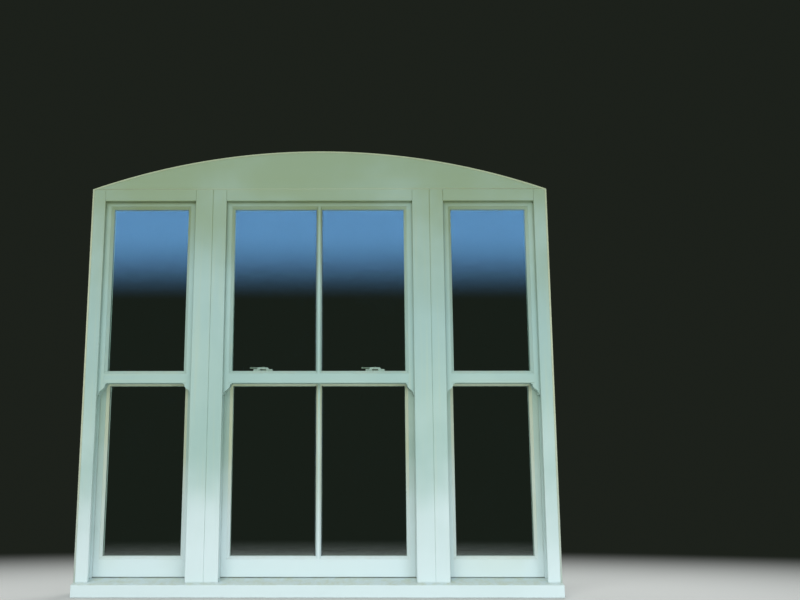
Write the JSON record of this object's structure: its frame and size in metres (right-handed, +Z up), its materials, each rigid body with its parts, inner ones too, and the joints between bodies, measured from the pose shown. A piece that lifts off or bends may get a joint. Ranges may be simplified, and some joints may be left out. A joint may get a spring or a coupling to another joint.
{
  "type": "sash window",
  "caption": "Timber sash window with an arched head board: sliding sashes side by side, with horns, double glazing, a weathered sill, spring balances and fasteners on the meeting rails.",
  "frame": {"origin": "under the sill, at the middle of its length and half way through the window's depth, which runs from the sill's nose to the strips on the room side", "axes": "+X to the right as seen from outside, +Y from the outside into the room, +Z up"},
  "size_m": [1.86, 0.1802, 1.761],
  "materials": {
    "painted_timber": "satin white paint on timber, a little weathered",
    "bare_timber": "sawn softwood",
    "putty": "painted glazing putty",
    "glass": "clear sealed double glazing",
    "balance_steel": "white coated steel",
    "hardware": "white powder coat, satin"
  },
  "bodies": {
    "frame": {"sill": "painted_timber", "arch_board": "painted_timber", "arch_blocks": "bare_timber", "parting_beads": "painted_timber", "staff_beads": "painted_timber", "balance_tubes": "balance_steel", "mullion_covers": "painted_timber", "jambs_left": "painted_timber", "head_left": "painted_timber", "side_linings_left": "painted_timber", "head_lining_left": "painted_timber", "jambs_centre": "painted_timber", "head_centre": "painted_timber", "side_linings_centre": "painted_timber", "head_lining_centre": "painted_timber", "jambs_right": "painted_timber", "head_right": "painted_timber", "side_linings_right": "painted_timber", "head_lining_right": "painted_timber"},
    "upper_sash_left": {"upper_stiles_left": "painted_timber", "upper_rails_left": "painted_timber", "upper_glazing_left": "glass", "upper_putty_left": "putty", "upper_rods_left": "balance_steel"},
    "lower_sash_left": {"lower_stiles_left": "painted_timber", "lower_rails_left": "painted_timber", "lower_glazing_left": "glass", "lower_putty_left": "putty", "lower_rods_left": "balance_steel", "lift_left": "hardware"},
    "upper_sash_centre": {"upper_stiles_centre": "painted_timber", "upper_rails_centre": "painted_timber", "upper_glazing_centre": "glass", "upper_putty_centre": "putty", "upper_rods_centre": "balance_steel", "upper_bar": "painted_timber", "fastener_keeps": "hardware"},
    "lower_sash_centre": {"lower_stiles_centre": "painted_timber", "lower_rails_centre": "painted_timber", "lower_glazing_centre": "glass", "lower_putty_centre": "putty", "lower_rods_centre": "balance_steel", "lift_centre": "hardware", "lower_bar": "painted_timber", "fastener_bases": "hardware"},
    "upper_sash_right": {"upper_stiles_right": "painted_timber", "upper_rails_right": "painted_timber", "upper_glazing_right": "glass", "upper_putty_right": "putty", "upper_rods_right": "balance_steel"},
    "lower_sash_right": {"lower_stiles_right": "painted_timber", "lower_rails_right": "painted_timber", "lower_glazing_right": "glass", "lower_putty_right": "putty", "lower_rods_right": "balance_steel", "lift_right": "hardware"},
    "fastener_left": {"fastener_lever_left": "hardware"},
    "fastener_right": {"fastener_lever_right": "hardware"}
  },
  "joints": [
    {"name": "upper_sash_left_slide", "type": "slide", "parent": "frame", "child": "upper_sash_left", "axis": [0, 0, -1], "range_m": [0, 0.6]},
    {"name": "lower_sash_left_slide", "type": "slide", "parent": "frame", "child": "lower_sash_left", "axis": [0, 0, 1], "range_m": [0, 0.64]},
    {"name": "upper_sash_centre_slide", "type": "slide", "parent": "frame", "child": "upper_sash_centre", "axis": [0, 0, -1], "range_m": [0, 0.6]},
    {"name": "lower_sash_centre_slide", "type": "slide", "parent": "frame", "child": "lower_sash_centre", "axis": [0, 0, 1], "range_m": [0, 0.64]},
    {"name": "upper_sash_right_slide", "type": "slide", "parent": "frame", "child": "upper_sash_right", "axis": [0, 0, -1], "range_m": [0, 0.6]},
    {"name": "lower_sash_right_slide", "type": "slide", "parent": "frame", "child": "lower_sash_right", "axis": [0, 0, 1], "range_m": [0, 0.64]},
    {"name": "fastener_left_turn", "type": "hinge", "parent": "lower_sash_centre", "child": "fastener_left", "pos_m": [-0.225, 0.0273, 0.86855], "axis": [0, 0, 1], "range_deg": [-180, 0]},
    {"name": "fastener_right_turn", "type": "hinge", "parent": "lower_sash_centre", "child": "fastener_right", "pos_m": [0.225, 0.0273, 0.86855], "axis": [0, 0, 1], "range_deg": [-180, 0]}
  ]
}
